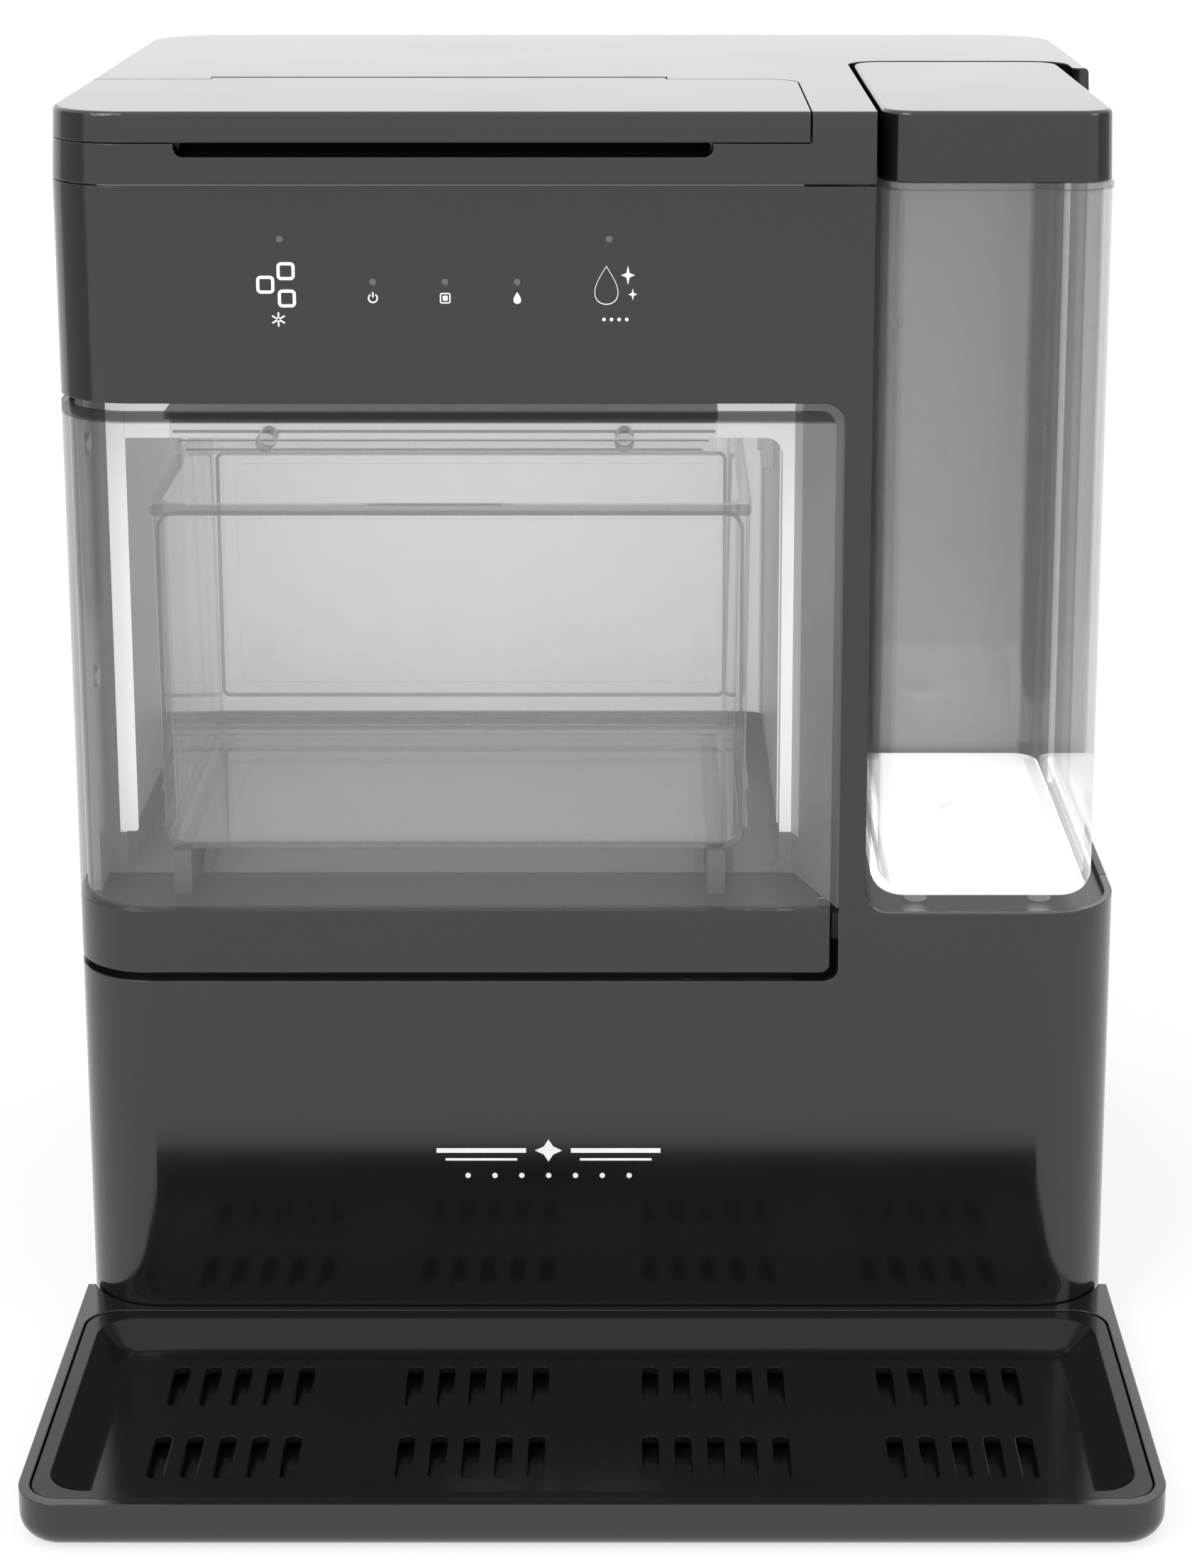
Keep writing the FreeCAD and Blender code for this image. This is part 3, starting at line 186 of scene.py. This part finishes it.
def clear(name, tint=0.985, slant_tint=0.62, haze=0.012, rim=0.12, top=None, base=None):
    """Clear moulded plastic: see-through face on, darker, milky and reflective at a slant.

    Above the height top it is darkened and its gloss weakened as painted shade, and between the two heights
    of base it is opaque white with a painted glow. These heights are in metres.
    """
    material, g = new_material(name)
    slant = g.add("LayerWeight", inputs={"Blend": 0.5}).outputs["Facing"]
    height = g.parts(g.place())[2]
    cloud = g.noise(24, 3)
    depth = g.spread(slant, 0.0, 1.0, 0.45, 1.0)
    colour = g.mix(depth, (tint,) * 3, (slant_tint,) * 3)
    shine = g.spread(g.math("POWER", slant, 5.0), FACE_SHINE, 1.0)
    # Painted shade: above the height top the colour darkens and the gloss weakens.
    if top:
        strip = g.spread(height, 0.0, 1.0, top, top + TOP_SHADE_FADE)
        colour = g.mix(strip, colour, TOP_SHADE_TINT)
        shine = g.math("MULTIPLY", shine, g.spread(strip, 1.0, TOP_SHADE_SHINE))
    through = g.add("BsdfTransparent", inputs={"Color": colour})
    milk = g.add("BsdfPrincipled", inputs={"Base Color": MILK, "Roughness": 0.25, "IOR": 1.45})
    gloss = g.add("BsdfGlossy", inputs={
        "Color": (1, 1, 1, 1),
        "Roughness": g.spread(cloud, CLEAR_ROUGH, CLEAR_ROUGH + 0.04, 0.3, 0.7)})
    wall = g.join(g.math("MULTIPLY_ADD", depth, rim, haze), through.outputs[0], milk.outputs[0])
    wall = g.join(shine, wall, gloss.outputs[0])
    if base:
        white = g.add("BsdfPrincipled", inputs={"Base Color": g.mix(cloud, (0.86,) * 3, (0.94,) * 3),
                                                "Roughness": 0.45})
        # Painted glow on the white base part.
        paint_glow(white, 0.7)
        under = g.spread(height, 1.0, 0.0, base[1], base[1] + BASE_FADE)
        above = g.spread(height, 0.0, 1.0, base[0] - BASE_FADE, base[0])
        wall = g.join(g.math("MULTIPLY", under, above), wall, white.outputs[0])
    g.output(wall)
    return material


def two_tone(name, bands, inside, outside, rough, glow=0.0, side_shade=None):
    """Moulded plastic with one colour inside every band (axis, low, high), in metres, and another beyond.

    Faces inside the bands that point sideways take the given sideways colour as painted shade, and glow
    gives the colour off as a painted glow.
    """
    material, g = new_material(name)
    places = g.parts(g.place())
    beyond = 0.0
    for axis, low, high in bands:
        under = g.spread(places[axis], 1.0, 0.0, low - BAND_FADE, low)
        over = g.spread(places[axis], 0.0, 1.0, high, high + BAND_FADE)
        beyond = g.math("MAXIMUM", g.math("MAXIMUM", under, over), beyond)
    cloud = g.noise(38, 4)
    shade = g.mottle(cloud, inside, 0.95, 1.03)
    # Painted shade: faces that point sideways take a darker colour.
    if side_shade:
        lean = g.parts(g.add("NewGeometry").outputs["Normal"])[0]
        sideways = g.spread(g.math("ABSOLUTE", lean), 0.0, 1.0, 0.6, 0.9)
        shade = g.mix(sideways, shade, side_shade)
    shade = g.mix(beyond, shade, g.mottle(cloud, outside, 0.9, 1.1))
    shader = g.add("BsdfPrincipled", inputs={
        "Base Color": shade,
        "Roughness": g.spread(g.noise(16, 5, 0.6), rough - 0.03, rough + 0.03, 0.3, 0.7),
        "Normal": g.bump(g.noise(2200, 2, 0.6), 0.02, 0.0002)})
    # Painted glow: the colour is given off as emission.
    if glow:
        g.tree.links.new(shade, shader.inputs["Emission Color"])
        shader.inputs["Emission Strength"].default_value = glow
    g.output(shader.outputs[0])
    return material


def glowing(name, glow):
    """White translucent plastic with a painted glow that stands in for the light it passes on."""
    material = plastic(name, (0.9, 0.9, 0.9), 0.45, 0.04, 0.04)
    paint_glow(shader_of(material), glow)
    return material


def lightless(name):
    """Matt black plastic with no gloss at all, painted shade for the back of a deep recess."""
    material = plastic(name, (0.004, 0.004, 0.004), 0.8, 0.05, 0.2, 900)
    shader_of(material).inputs["Specular IOR Level"].default_value = 0.0
    return material


DEEP_BLACK = (0.0065, 0.0065, 0.007)
# Heights where the window and the pull rail start their painted shade band under the panel.
WINDOW_SHADE_TOP = at(0, 0, box_mm("drawer_window")[1][2] - 3.8).z
RAIL_SHADE_TOP = at(0, 0, box_mm("pull_rail")[1][2] - 5.8).z
LOOKS = {
    "black_gloss": plastic("gloss_black_plastic", DEEP_BLACK, 0.12, 0.02, 0.02, wave=0.012,
                           edge=0.0007, ior=1.62),
    "black_satin": plastic("satin_black_plastic", (0.014, 0.014, 0.015), 0.3, 0.04, 0.14, 1800,
                           edge=0.0006),
    "white_plastic": plastic("white_moulded_plastic", (0.86, 0.87, 0.87), 0.38, 0.04, 0.05,
                             edge=0.0008),
    "clear_plastic": clear("clear_plastic"),
    "clear_smoke": clear("clear_rail_plastic", 0.9, 0.45, haze=0.02, top=RAIL_SHADE_TOP),
    "rubber_dark": plastic("dark_rubber", (0.02, 0.02, 0.02), 0.7, 0.08, 0.3, 900),
    "steel": metal("brushed_steel", (0.68, 0.68, 0.69), 0.3),
    "screw_steel": metal("plated_steel", (0.6, 0.6, 0.62), 0.25, (1, 1, 1)),
    "copper": metal("drawn_copper", (0.78, 0.38, 0.24), 0.28),
    "compressor_paint": plastic("black_enamel", (0.018, 0.018, 0.018), 0.24, 0.05, 0.1, 300),
    "foam": plastic("cell_foam", (0.05, 0.05, 0.052), 0.85, 0.05, 0.6, 500),
    "aluminium": metal("bare_aluminium", (0.78, 0.79, 0.8), 0.32, (1, 1, 20)),
    "board_green": plastic("circuit_board", (0.02, 0.13, 0.05), 0.35, 0.05, 0.3, 420),
    "mark_white": plastic("printed_mark", (0.86, 0.87, 0.88), 0.5, 0.05, 0.1, 2000),
    "lens": plastic("light_guide", (0.1, 0.1, 0.105), 0.3, 0.04, 0.05),
    "hose": plastic("silicone_hose", (0.72, 0.73, 0.74), 0.42, 0.05, 0.1, 800),
    "float_white": plastic("foamed_plastic", (0.75, 0.74, 0.68), 0.6, 0.06, 0.4, 700),
    "inlet_black": plastic("inlet_plastic", (0.02, 0.02, 0.02), 0.45, 0.05, 0.25, 1500),
    "pan_metal": metal("zinc_sheet", (0.5, 0.51, 0.52), 0.42, (6, 6, 6), 0.15),
}


def liner_look():
    """White room for the ice, with grey cheeks beside it and a grey part below it. Its side walls take a
    grey painted shade, and the whole liner has a painted glow.
    """
    (left, _, low), (right, _, high) = box_mm("ice_compartment")
    room = [(0, at(left + 6.6, 0, 0).x, at(right - 13.9, 0, 0).x),
            (2, at(0, 0, low + 16.5).z, at(0, 0, high).z)]
    return two_tone("liner_plastic", room, (0.92, 0.93, 0.93), (0.13, 0.13, 0.13), 0.36, glow=0.24,
                    side_shade=(0.3, 0.31, 0.33))


def bay_look():
    """Black bay for the tank, with a painted reflection: its rear wall is painted grey."""
    (_, near, _), (_, far, _) = box_mm("tank_bay")
    return two_tone("bay_plastic", [(1, at(0, near - 1, 0).y, at(0, far - 3, 0).y)], DEEP_BLACK,
                    (0.24, 0.24, 0.24), 0.3)


def carrier_look():
    """Near-black floor plate under slightly paler arms."""
    low = box_mm("drawer_frame")[0][2]
    return two_tone("drawer_floor_plastic", [(2, 0.0, at(0, 0, low + 4).z)], (0.03, 0.03, 0.031),
                    (0.07, 0.07, 0.072), 0.4)


TANK_LOW = box_mm("tank_body")[0][2]
TANK_FLOOR = TANK_LOW + 14.2, TANK_LOW + 17
NODE_LOOKS = {
    "tray_grille": plastic("tray_black_plastic", DEEP_BLACK, 0.14, 0.03, 0.05, wave=0.02, edge=0.0007,
                           ior=1.34),
    "drawer_window": clear("clear_window_plastic", slant_tint=0.5, rim=0.04, top=WINDOW_SHADE_TOP),
    # The tank's white floor band has a painted glow.
    "tank_body": clear("clear_tank_plastic", slant_tint=0.85, haze=0.02,
                       base=[at(0, 0, height).z for height in TANK_FLOOR]),
    "ice_compartment": liner_look(),
    "tank_bay": bay_look(),
    "drawer_frame": carrier_look(),
    "ice_sensor": LOOKS["white_plastic"],
    "slide_guides": plastic("guide_plastic", (0.2, 0.2, 0.205), 0.45, 0.04, 0.1),
    "rail_bosses": clear("clear_boss_plastic", 0.86, 0.12, haze=0.04),
    # The valve plunger takes the same kind of painted glow as the tank floor.
    "valve_plunger": glowing("valve_plastic", 0.6),
}
RAIL_LINE = clear("rail_line_plastic", 0.5, 0.25, haze=0.02)
EDGE_LOOK = clear("clear_edge_plastic", 0.66, 0.35, haze=0.02)
slots = {row["node"]: row["material_slot"] for row in frame["record"]["subparts"]}
for node, piece in nodes.items():
    piece.data.materials.clear()
    piece.data.materials.append(NODE_LOOKS.get(node) or LOOKS[slots[node]])


# ---- outlines, plates and pieces ----

def arc(x, z, radius, start, end, steps=8):
    turns = (math.radians(start + (end - start) * i / steps) for i in range(steps + 1))
    return [(x + radius * math.cos(turn), z + radius * math.sin(turn)) for turn in turns]


def circle(x, z, radius, count):
    return arc(x, z, radius, 0, 360 * (count - 1) / count, count - 1)


def rounded(x, z, wide, tall, radius, steps=5):
    """Rounded rectangle about its middle."""
    points = []
    for quarter, (side, rise) in enumerate(((1, 1), (-1, 1), (-1, -1), (1, -1))):
        points += arc(x + side * (wide / 2 - radius), z + rise * (tall / 2 - radius), radius,
                      90 * quarter, 90 * quarter + 90, steps)
    return points


def rounded_between(left, right, near, far, radius, steps=5):
    return rounded((left + right) / 2, (near + far) / 2, right - left, far - near, radius, steps)


def ring(x, z, wide, tall, stroke, radius):
    """Outer and inner outline of a rounded frame."""
    return (rounded(x, z, wide, tall, radius),
            rounded(x, z, wide - 2 * stroke, tall - 2 * stroke, radius - stroke))


def droplet(x, low, wide, tall, inset=0.0, steps=20):
    """Water-drop outline: a round bottom that closes to a point at the top."""
    points = []
    for i in range(steps * 2):
        turn = math.pi * i / steps
        across = math.sin(turn) * math.sin(turn / 2) ** 1.3
        up = (1 + math.cos(turn)) / 2
        points.append((x + (wide / 1.58 - inset) * across, low + inset + (tall - 2.2 * inset) * up))
    return points


def sparkle(x, z, wide, tall, waist=0.16):
    """Four-pointed star."""
    points = []
    for i in range(4):
        turn = math.pi / 2 * i
        points.append((x + wide / 2 * math.cos(turn), z + tall / 2 * math.sin(turn)))
        turn += math.pi / 4
        points.append((x + wide * waist * math.cos(turn), z + tall * waist * math.sin(turn)))
    return points


def bar(x, z, length, stroke, turn=0.0):
    """Straight stroke with its middle at (x, z), turned in degrees."""
    along = Vector((math.cos(math.radians(turn)), math.sin(math.radians(turn)))) * length / 2
    side = Vector((-along.y, along.x)).normalized() * stroke / 2
    middle = Vector((x, z))
    return [tuple(middle + along + side), tuple(middle - along + side), tuple(middle - along - side),
            tuple(middle + along - side)]


def plates(parts, start, end, flat=False):
    """Solid plates, each from an outline or an (outline, hole) pair.

    Upright plates have (x, z) outlines and go between two depths. Flat ones have (x, y) outlines and go
    between two heights.
    """
    shape = bmesh.new()
    for part in parts:
        outlines = part if isinstance(part, tuple) else (part,)
        rings = [[[shape.verts.new(at(u, v, w) if flat else at(u, w, v)) for u, v in points]
                  for w in (start, end)] for points in outlines]
        for near, far in rings:
            for i, vert in enumerate(near):
                shape.faces.new((near[i - 1], vert, far[i], far[i - 1]))
        for side in (0, 1):
            outer = rings[0][side]
            if len(rings) == 1:
                shape.faces.new(outer)
                continue
            inner = rings[1][side]
            for i, vert in enumerate(outer):
                shape.faces.new((outer[i - 1], vert, inner[i], inner[i - 1]))
    bmesh.ops.recalc_face_normals(shape, faces=shape.faces)
    return shape


def mesh_object(name, shape, look):
    mesh = bpy.data.meshes.new(name)
    shape.to_mesh(mesh)
    shape.free()
    mesh.materials.append(look)
    item = bpy.data.objects.new(name, mesh)
    bpy.context.scene.collection.objects.link(item)
    return item


def add_piece(name, shape, look, body, bevel=0.0):
    piece = mesh_object(name, shape, look)
    if bevel:
        round_over = piece.modifiers.new("round_over", "BEVEL")
        round_over.width = bevel * MM
        round_over.segments = 3
        round_over.limit_method = "ANGLE"
    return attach(piece, body)


# ---- prints ----

PRINT_DEPTHS = -0.18, 0.0
CUBES = ((-96.9, 370.0), (-103.4, 365.7), (-96.7, 361.3))
CUBE_WIDE, CUBE_STROKE, CUBE_RADIUS = 5.7, 1.0, 1.4
DROP_X, DROP_LOW, DROP_WIDE, DROP_TALL, DROP_STROKE = 4.0, 359.3, 8.2, 12.5, 0.28
SPARKLES = ((10.8, 368.7, 4.4, 6.2), (12.3, 362.6, 2.8, 3.8))
LOW_MARK_Z = 354.6
FLAKE_X, FLAKE_WIDE, FLAKE_STROKE = -99.5, 4.6, 0.5
DOT_XS, DOT_WIDE = (3.2, 5.6, 8.0, 10.4), 1.1
SMALL_MARK_Z = 361.4
POWER_X, FULL_X, WATER_X = -69.6, -46.8, -24.1


def add_print(name, marks):
    return add_piece(name, plates(marks, *PRINT_DEPTHS), LOOKS["mark_white"], "cabinet")


def cube_marks():
    """Three cubes over a snowflake."""
    cubes = [ring(x, z, CUBE_WIDE, CUBE_WIDE, CUBE_STROKE, CUBE_RADIUS) for x, z in CUBES]
    return cubes + [bar(FLAKE_X, LOW_MARK_Z, FLAKE_WIDE, FLAKE_STROKE, turn) for turn in (30, 90, 150)]


def drop_marks():
    """A drop with two sparkles, over a row of dots."""
    drop = tuple(droplet(DROP_X, DROP_LOW, DROP_WIDE, DROP_TALL, inset) for inset in (0.0, DROP_STROKE))
    dots = [rounded(x, LOW_MARK_Z, DOT_WIDE, DOT_WIDE, 0.5) for x in DOT_XS]
    return [drop] + [sparkle(*place) for place in SPARKLES] + dots


def small_marks():
    """Three small signs: power, full bin and water."""
    gap_end, gap_start = 125, 415
    power = (arc(POWER_X, SMALL_MARK_Z, 1.6, gap_end, gap_start, 20)
             + arc(POWER_X, SMALL_MARK_Z, 1.15, gap_start, gap_end, 20))
    return [power, bar(POWER_X, SMALL_MARK_Z + 1.1, 1.7, 0.45, 90),
            ring(FULL_X, SMALL_MARK_Z, 3.4, 3.4, 0.4, 0.7), rounded(FULL_X, SMALL_MARK_Z, 1.6, 1.6, 0.3),
            droplet(WATER_X, SMALL_MARK_Z - 1.8, 2.6, 3.8)]


def panel_icons():
    """Pictograms on the control strip, in place of the plain touch marks."""
    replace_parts(add_print("panel_icons", cube_marks() + drop_marks() + small_marks()), "touch_marks")


def front_emblem():
    """Plain emblem: a star between two pairs of rules, with a row of dots under it."""
    middle, high, low = -16.0, 72.5, 63.5
    rule_shift, rule_drop, dot_gap = 22.5, 3.2, 9
    marks = [sparkle(middle, high, 9.0, 8.0, 0.25)]
    for side in (-1, 1):
        marks.append(bar(middle + side * rule_shift, high, 30, 1.6))
        marks.append(bar(middle + side * rule_shift, high - rule_drop, 24, 0.8))
    marks += [rounded(middle + dot_gap * i, low, 1.8, 1.8, 0.88) for i in range(-3, 4)]
    add_print("front_emblem", marks)


# ---- drawer ----

BIN_INSET = 2.6
BIN_REAR_MIDDLE, BIN_REAR_TALL = 59.2, 93.5
RAIL_BEADS = ((1.0, 0.7, 9), (7.0, 0.9, 1), (10.2, 0.8, 0.6), (4.0, 0.5, 5), (13.0, 0.5, 0.6))


def bin_edges():
    """Thickened edges of the clear bin: front bead, rim band, rear bead and double rear sill."""
    (left, near, floor), (right, far, rim) = box_mm("ice_bin")
    middle, wide, tall = (left + right) / 2, right - left, rim - floor
    inner_wide, inner_tall = wide - 2 * BIN_INSET, tall - 2 * BIN_INSET
    front, back = near + BIN_INSET, far - BIN_INSET
    front_bead = ring(middle, floor + tall / 2, inner_wide, inner_tall, 1.2, 6.0)
    rim_band = rounded(middle, rim - 2.4, wide - 1.0, 3.6, 1.2)
    rear_bead = ring(middle, floor + BIN_REAR_MIDDLE, wide - 9.0, BIN_REAR_TALL, 1.3, 3.0)
    sill = [rounded(middle, floor + rise, inner_wide - 1, stroke, round_off)
            for rise, stroke, round_off in ((4.2, 1.4, 0.6), (6.8, 0.7, 0.3))]
    for name, parts, start, end in (("bin_front_bead", [front_bead], front, front + 0.8),
                                    ("bin_rim_band", [rim_band], front + 1.0, front + 1.8),
                                    ("bin_rear_bead", [rear_bead], back - 0.8, back - 0.1),
                                    ("bin_rear_sill", sill, back - 1.8, back - 1.0)):
        add_piece(name, plates(parts, start, end), EDGE_LOOK, "drawer")


def rail_beads():
    """Lines of the pull rail's moulded steps, each given by its rise, stroke and how much shorter it is."""
    (left, _, low), (right, back, _) = box_mm("pull_rail")
    beads = [rounded((left + right) / 2, low + rise, right - left - trim, stroke, stroke / 2.2)
             for rise, stroke, trim in RAIL_BEADS]
    add_piece("rail_beads", plates(beads, back + 0.2, back + 0.9), RAIL_LINE, "drawer")


# ---- cabinet and tank ----

VALVE_HOLE = 3.4


def recess_shade_sheet():
    """Matt dark sheet on the back wall of the lid's finger recess, as painted shade."""
    middle, height, wide, tall = -46.9, 407.95, 167.4, 3.9
    shade_sheet = plates([rounded(middle, height, wide, tall, 1.8)], 8.9, 9.5)
    add_piece("recess_shade_sheet", shade_sheet, lightless("recess_shade_sheet"), "cabinet")


def flange_strip():
    """White strip that closes the left edge of the ice compartment's mouth."""
    middle, height, wide, tall = -158.9, 244, 6.2, 146
    strip = plates([rounded(middle, height, wide, tall, 1.2)], 40.9, 41.8)
    # The strip takes the liner look with its painted glow.
    add_piece("flange_strip", strip, NODE_LOOKS["ice_compartment"], "cabinet")


def tank_floor():
    """White moulded plate on the floor of the water tank, with a hole for the valve. It has a painted glow.
    """
    (left, near, _), (right, far, _) = box_mm("tank_body")
    inset = 2.9
    plate = rounded_between(left + inset, right - inset, near + inset, far - inset, 8.0, 8)
    (left, near, _), (right, far, _) = box_mm("valve_plunger")
    hole = circle((left + right) / 2, (near + far) / 2, VALVE_HOLE, len(plate))
    shape = plates([(plate, hole)], TANK_FLOOR[1], TANK_FLOOR[1] + 0.5, flat=True)
    add_piece("tank_floor_plate", shape, glowing("tank_floor_plastic", 0.7), "tank")


def bay_edge():
    """Bright rounded strip down the front edge of the tank bay's right wall: a painted highlight that glows.
    """
    outline = rounded_between(164.95, 167.1, 134.4, 136.7, 0.8)
    shape = plates([outline], 158.0, 395.5, flat=True)
    add_piece("bay_edge_glint", shape, glowing("bay_glint_plastic", 0.9), "cabinet")


def door_shelf():
    """Dark shelf that closes the gap under the drawer, with an upstand at its right end."""
    left, right, near, far, low = -170.5, 80.2, 2.8, 41.0, 131.2
    corner, thick, wall, top = 23.0, 1.2, 1.3, 156.2
    floor = arc(left + corner, near + corner, corner, 180, 270) + [(right, near), (right, far), (left, far)]
    shelf = plates([floor], low, low + thick, flat=True)
    add_piece("door_shelf", shelf, LOOKS["black_satin"], "cabinet")
    side = [(right, near), (right + wall, near), (right + wall, far), (right, far)]
    upstand = plates([side], low, top, flat=True)
    add_piece("door_upstand", upstand, LOOKS["black_satin"], "cabinet", 0.3)


panel_icons()
front_emblem()
bin_edges()
rail_beads()
recess_shade_sheet()
flange_strip()
tank_floor()
bay_edge()
door_shelf()


# ---- stage, in metres ----

FLOOR_HALF = 14
CARD_SIDE, CARD_HEIGHT, CARD_SIZE = 0.95, 0.42, (0.76, 0.8)
LIGHT_AIM = (0, 0, 0.2)
WORLD_LIGHT = 1.3
CLEAR_LAYERS = 48


def stage_floor():
    material, g = new_material("studio_floor")
    soft = g.add("BsdfDiffuse", inputs={"Color": g.mix(g.noise(1.4, 2), (0.93,) * 3, (0.95,) * 3)})
    glow = g.add("Emission", inputs={"Color": (1, 1, 1, 1), "Strength": 1.0})
    g.output(g.join(0.72, soft.outputs[0], glow.outputs[0]))
    shape = bmesh.new()
    bmesh.ops.create_grid(shape, x_segments=8, y_segments=8, size=FLOOR_HALF)
    mesh_object("studio_floor", shape, material)


def side_card(side):
    """Grey card beside the object, unseen by the camera, that darkens reflections in its rounded corners."""
    material, g = new_material("grey_card")
    tone = g.mix(g.noise(3), (0.4,) * 3, (0.46,) * 3)
    g.output(g.add("BsdfDiffuse", inputs={"Color": tone}).outputs[0])
    shape = bmesh.new()
    bmesh.ops.create_grid(shape, x_segments=2, y_segments=2, size=0.5)
    shape.transform(Matrix.Translation((side * CARD_SIDE, 0, CARD_HEIGHT))
                    @ Matrix.Rotation(math.pi / 2, 4, "Y") @ Matrix.Diagonal((*CARD_SIZE, 1, 1)))
    card = mesh_object("grey_card", shape, material)
    card.visible_camera = False


def area_light(name, place, size, power):
    data = bpy.data.lights.new(name, "AREA")
    data.shape = "RECTANGLE"
    data.size = size
    data.size_y = size
    data.energy = power
    light = bpy.data.objects.new(name, data)
    light.location = place
    light.rotation_euler = (Vector(LIGHT_AIM) - Vector(place)).to_track_quat("-Z", "Y").to_euler()
    bpy.context.scene.collection.objects.link(light)


def studio():
    scene = bpy.context.scene
    scene.world = bpy.data.worlds.new("studio")
    scene.world.use_nodes = True
    back = scene.world.node_tree.nodes["Background"]
    back.inputs["Color"].default_value = (1, 1, 1, 1)
    back.inputs["Strength"].default_value = WORLD_LIGHT
    stage_floor()
    for side in (-1, 1):
        side_card(side)
    area_light("key", (-1.3, -1.6, 2.2), 1.2, 22)
    area_light("fill", (1.8, -1.0, 1.3), 1.0, 9)
    scene.view_settings.view_transform = "Standard"
    scene.view_settings.look = "None"
    scene.cycles.transparent_max_bounces = CLEAR_LAYERS


# The lens is in millimetres, the shifts are shares of the sensor and the tilt is downwards.
LENS, SENSOR, TILT_DEG = 76.105, 36, 13.03
SHIFT_ACROSS, SHIFT_UP = -0.026471, -0.183258
EYE = at(13.8, -1032, 536)


def camera():
    data = bpy.data.cameras.new("camera")
    data.sensor_width = SENSOR
    data.lens = LENS
    data.shift_x = SHIFT_ACROSS
    data.shift_y = SHIFT_UP
    data.clip_end = 60
    view = bpy.data.objects.new("camera", data)
    view.location = EYE
    view.rotation_euler = Euler((math.radians(90 - TILT_DEG), 0, 0))
    bpy.context.scene.collection.objects.link(view)
    bpy.context.scene.camera = view


studio()
camera()
